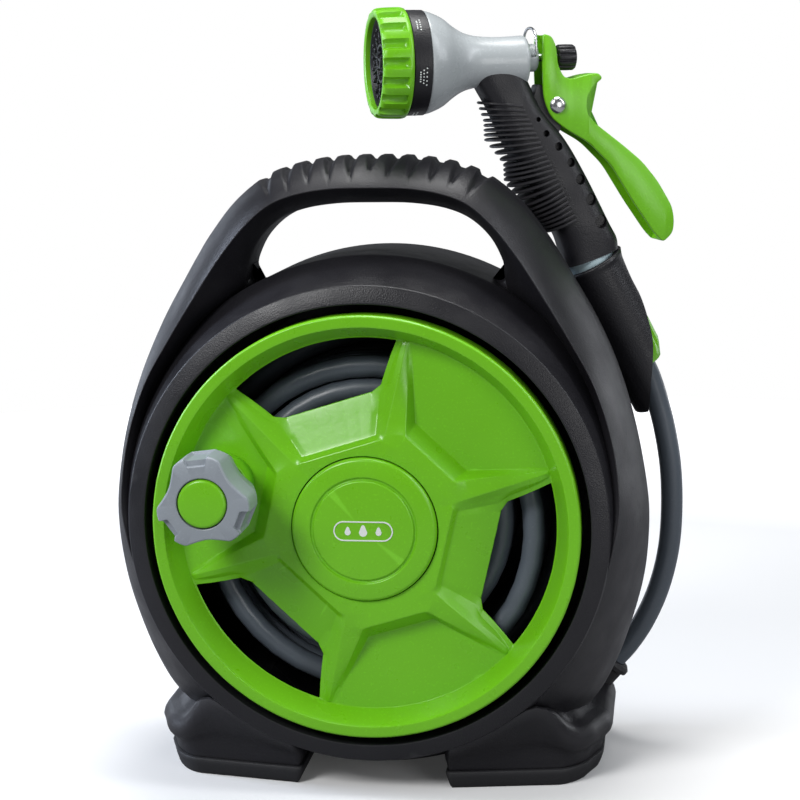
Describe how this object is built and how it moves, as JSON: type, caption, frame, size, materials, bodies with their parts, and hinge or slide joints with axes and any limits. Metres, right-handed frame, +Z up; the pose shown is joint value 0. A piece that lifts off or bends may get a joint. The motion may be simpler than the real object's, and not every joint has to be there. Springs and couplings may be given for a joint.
{
  "type": "garden hose reel",
  "caption": "Portable garden hose reel: round casing with a carrying hoop and two feet, winding drum with a crank knob, and a spray gun in a side holster.",
  "frame": {"origin": "middle of the footprint on the ground, below the middle of the object's bounding box without the hose", "axes": "+Z up, -Y out of the front of the reel, where the crank knob is, +X towards the spray gun's holster"},
  "size_m": [0.276, 0.181, 0.368],
  "materials": {
    "black_plastic": "black plastic with a fine moulded texture",
    "green_plastic": "apple green moulded plastic with a soft gloss",
    "grey_plastic": "mid grey moulded plastic, satin",
    "light_grey_plastic": "light blue-grey moulded plastic, satin",
    "dark_rubber": "dark rubber, dull",
    "hose_grey": "dark blue-grey flexible hose, satin",
    "steel": "plain bright steel",
    "brass": "turned brass"
  },
  "bodies": {
    "reel": {"front_casing": "black_plastic", "rear_casing": "black_plastic", "casing_screw_1": "steel", "casing_screw_2": "steel", "casing_screw_3": "steel", "casing_screw_4": "steel", "casing_screw_5": "steel", "casing_screw_6": "steel", "casing_screw_7": "steel", "foot_sole_left": "dark_rubber", "foot_sole_right": "dark_rubber", "inlet_spindle": "light_grey_plastic", "seal_ring_1": "dark_rubber", "seal_ring_2": "dark_rubber", "retaining_washer": "steel", "retaining_screw": "steel", "inlet_nut": "grey_plastic", "inlet_nipple": "green_plastic", "gun_holster": "black_plastic", "hose_guide": "dark_rubber", "hose_loop": "hose_grey"},
    "drum": {"drum_front_flange": "green_plastic", "hub_cap": "green_plastic", "drum_core": "black_plastic", "drum_rear_flange": "black_plastic", "front_bush": "brass", "rear_bush": "brass", "water_journal": "light_grey_plastic", "drum_screw_1": "steel", "drum_screw_2": "steel", "drum_screw_3": "steel", "hose_wound": "hose_grey", "knob_pin": "steel"},
    "knob": {"crank_knob": "grey_plastic", "knob_cap": "green_plastic"},
    "gun": {"gun_body": "light_grey_plastic", "gun_grip": "black_plastic", "trigger_rivet": "steel", "valve_gland": "light_grey_plastic", "valve_seal": "dark_rubber", "grip_nipple": "brass", "hose_coupler": "light_grey_plastic", "coupler_nut": "green_plastic"},
    "dial": {"dial_ring": "green_plastic", "spray_face": "black_plastic", "dial_band": "black_plastic"},
    "trigger": {"trigger": "green_plastic"},
    "valve_stem": {"valve_stem": "steel"},
    "flow_knob": {"flow_knob": "black_plastic"},
    "lock_bail": {"lock_bail": "steel"}
  },
  "joints": [
    {"name": "drum_spin", "type": "hinge", "parent": "reel", "child": "drum", "pos_m": [-0.0066, -0.0535, 0.13], "axis": [0, -1, 0], "continuous": true},
    {"name": "knob_spin", "type": "hinge", "parent": "drum", "child": "knob", "pos_m": [-0.07382, -0.0535, 0.14953], "axis": [0, -1, 0], "continuous": true},
    {"name": "gun_lift", "type": "slide", "parent": "reel", "child": "gun", "axis": [-0.4412, -0.1606, 0.8829], "range_m": [0, 0.085]},
    {"name": "dial_turn", "type": "hinge", "parent": "gun", "child": "dial", "pos_m": [0.0944, 0.0385, 0.3423], "axis": [0.9397, 0.342, 0], "continuous": true},
    {"name": "trigger_squeeze", "type": "hinge", "parent": "gun", "child": "trigger", "pos_m": [0.07608, 0.03183, 0.3214], "axis": [-0.342, 0.9397, 0], "range_deg": [0, 12], "stiffness_Nm_per_rad": 0.6, "springref_deg": -5.73},
    {"name": "valve_stem_pull", "type": "slide", "parent": "gun", "child": "valve_stem", "axis": [0.9397, 0.342, 0], "range_m": [0, 0.0048]},
    {"name": "flow_knob_turn", "type": "hinge", "parent": "valve_stem", "child": "flow_knob", "pos_m": [0.0944, 0.0385, 0.3438], "axis": [0.9397, 0.342, 0], "range_deg": [0, 720]},
    {"name": "lock_bail_swing", "type": "hinge", "parent": "gun", "child": "lock_bail", "pos_m": [0.06536, 0.02793, 0.3448], "axis": [-0.342, 0.9397, 0], "range_deg": [0, 20]}
  ],
  "couplings": [
    {"joint": "valve_stem_pull", "follows": "trigger_squeeze", "m_per_rad": 0.0224}
  ]
}
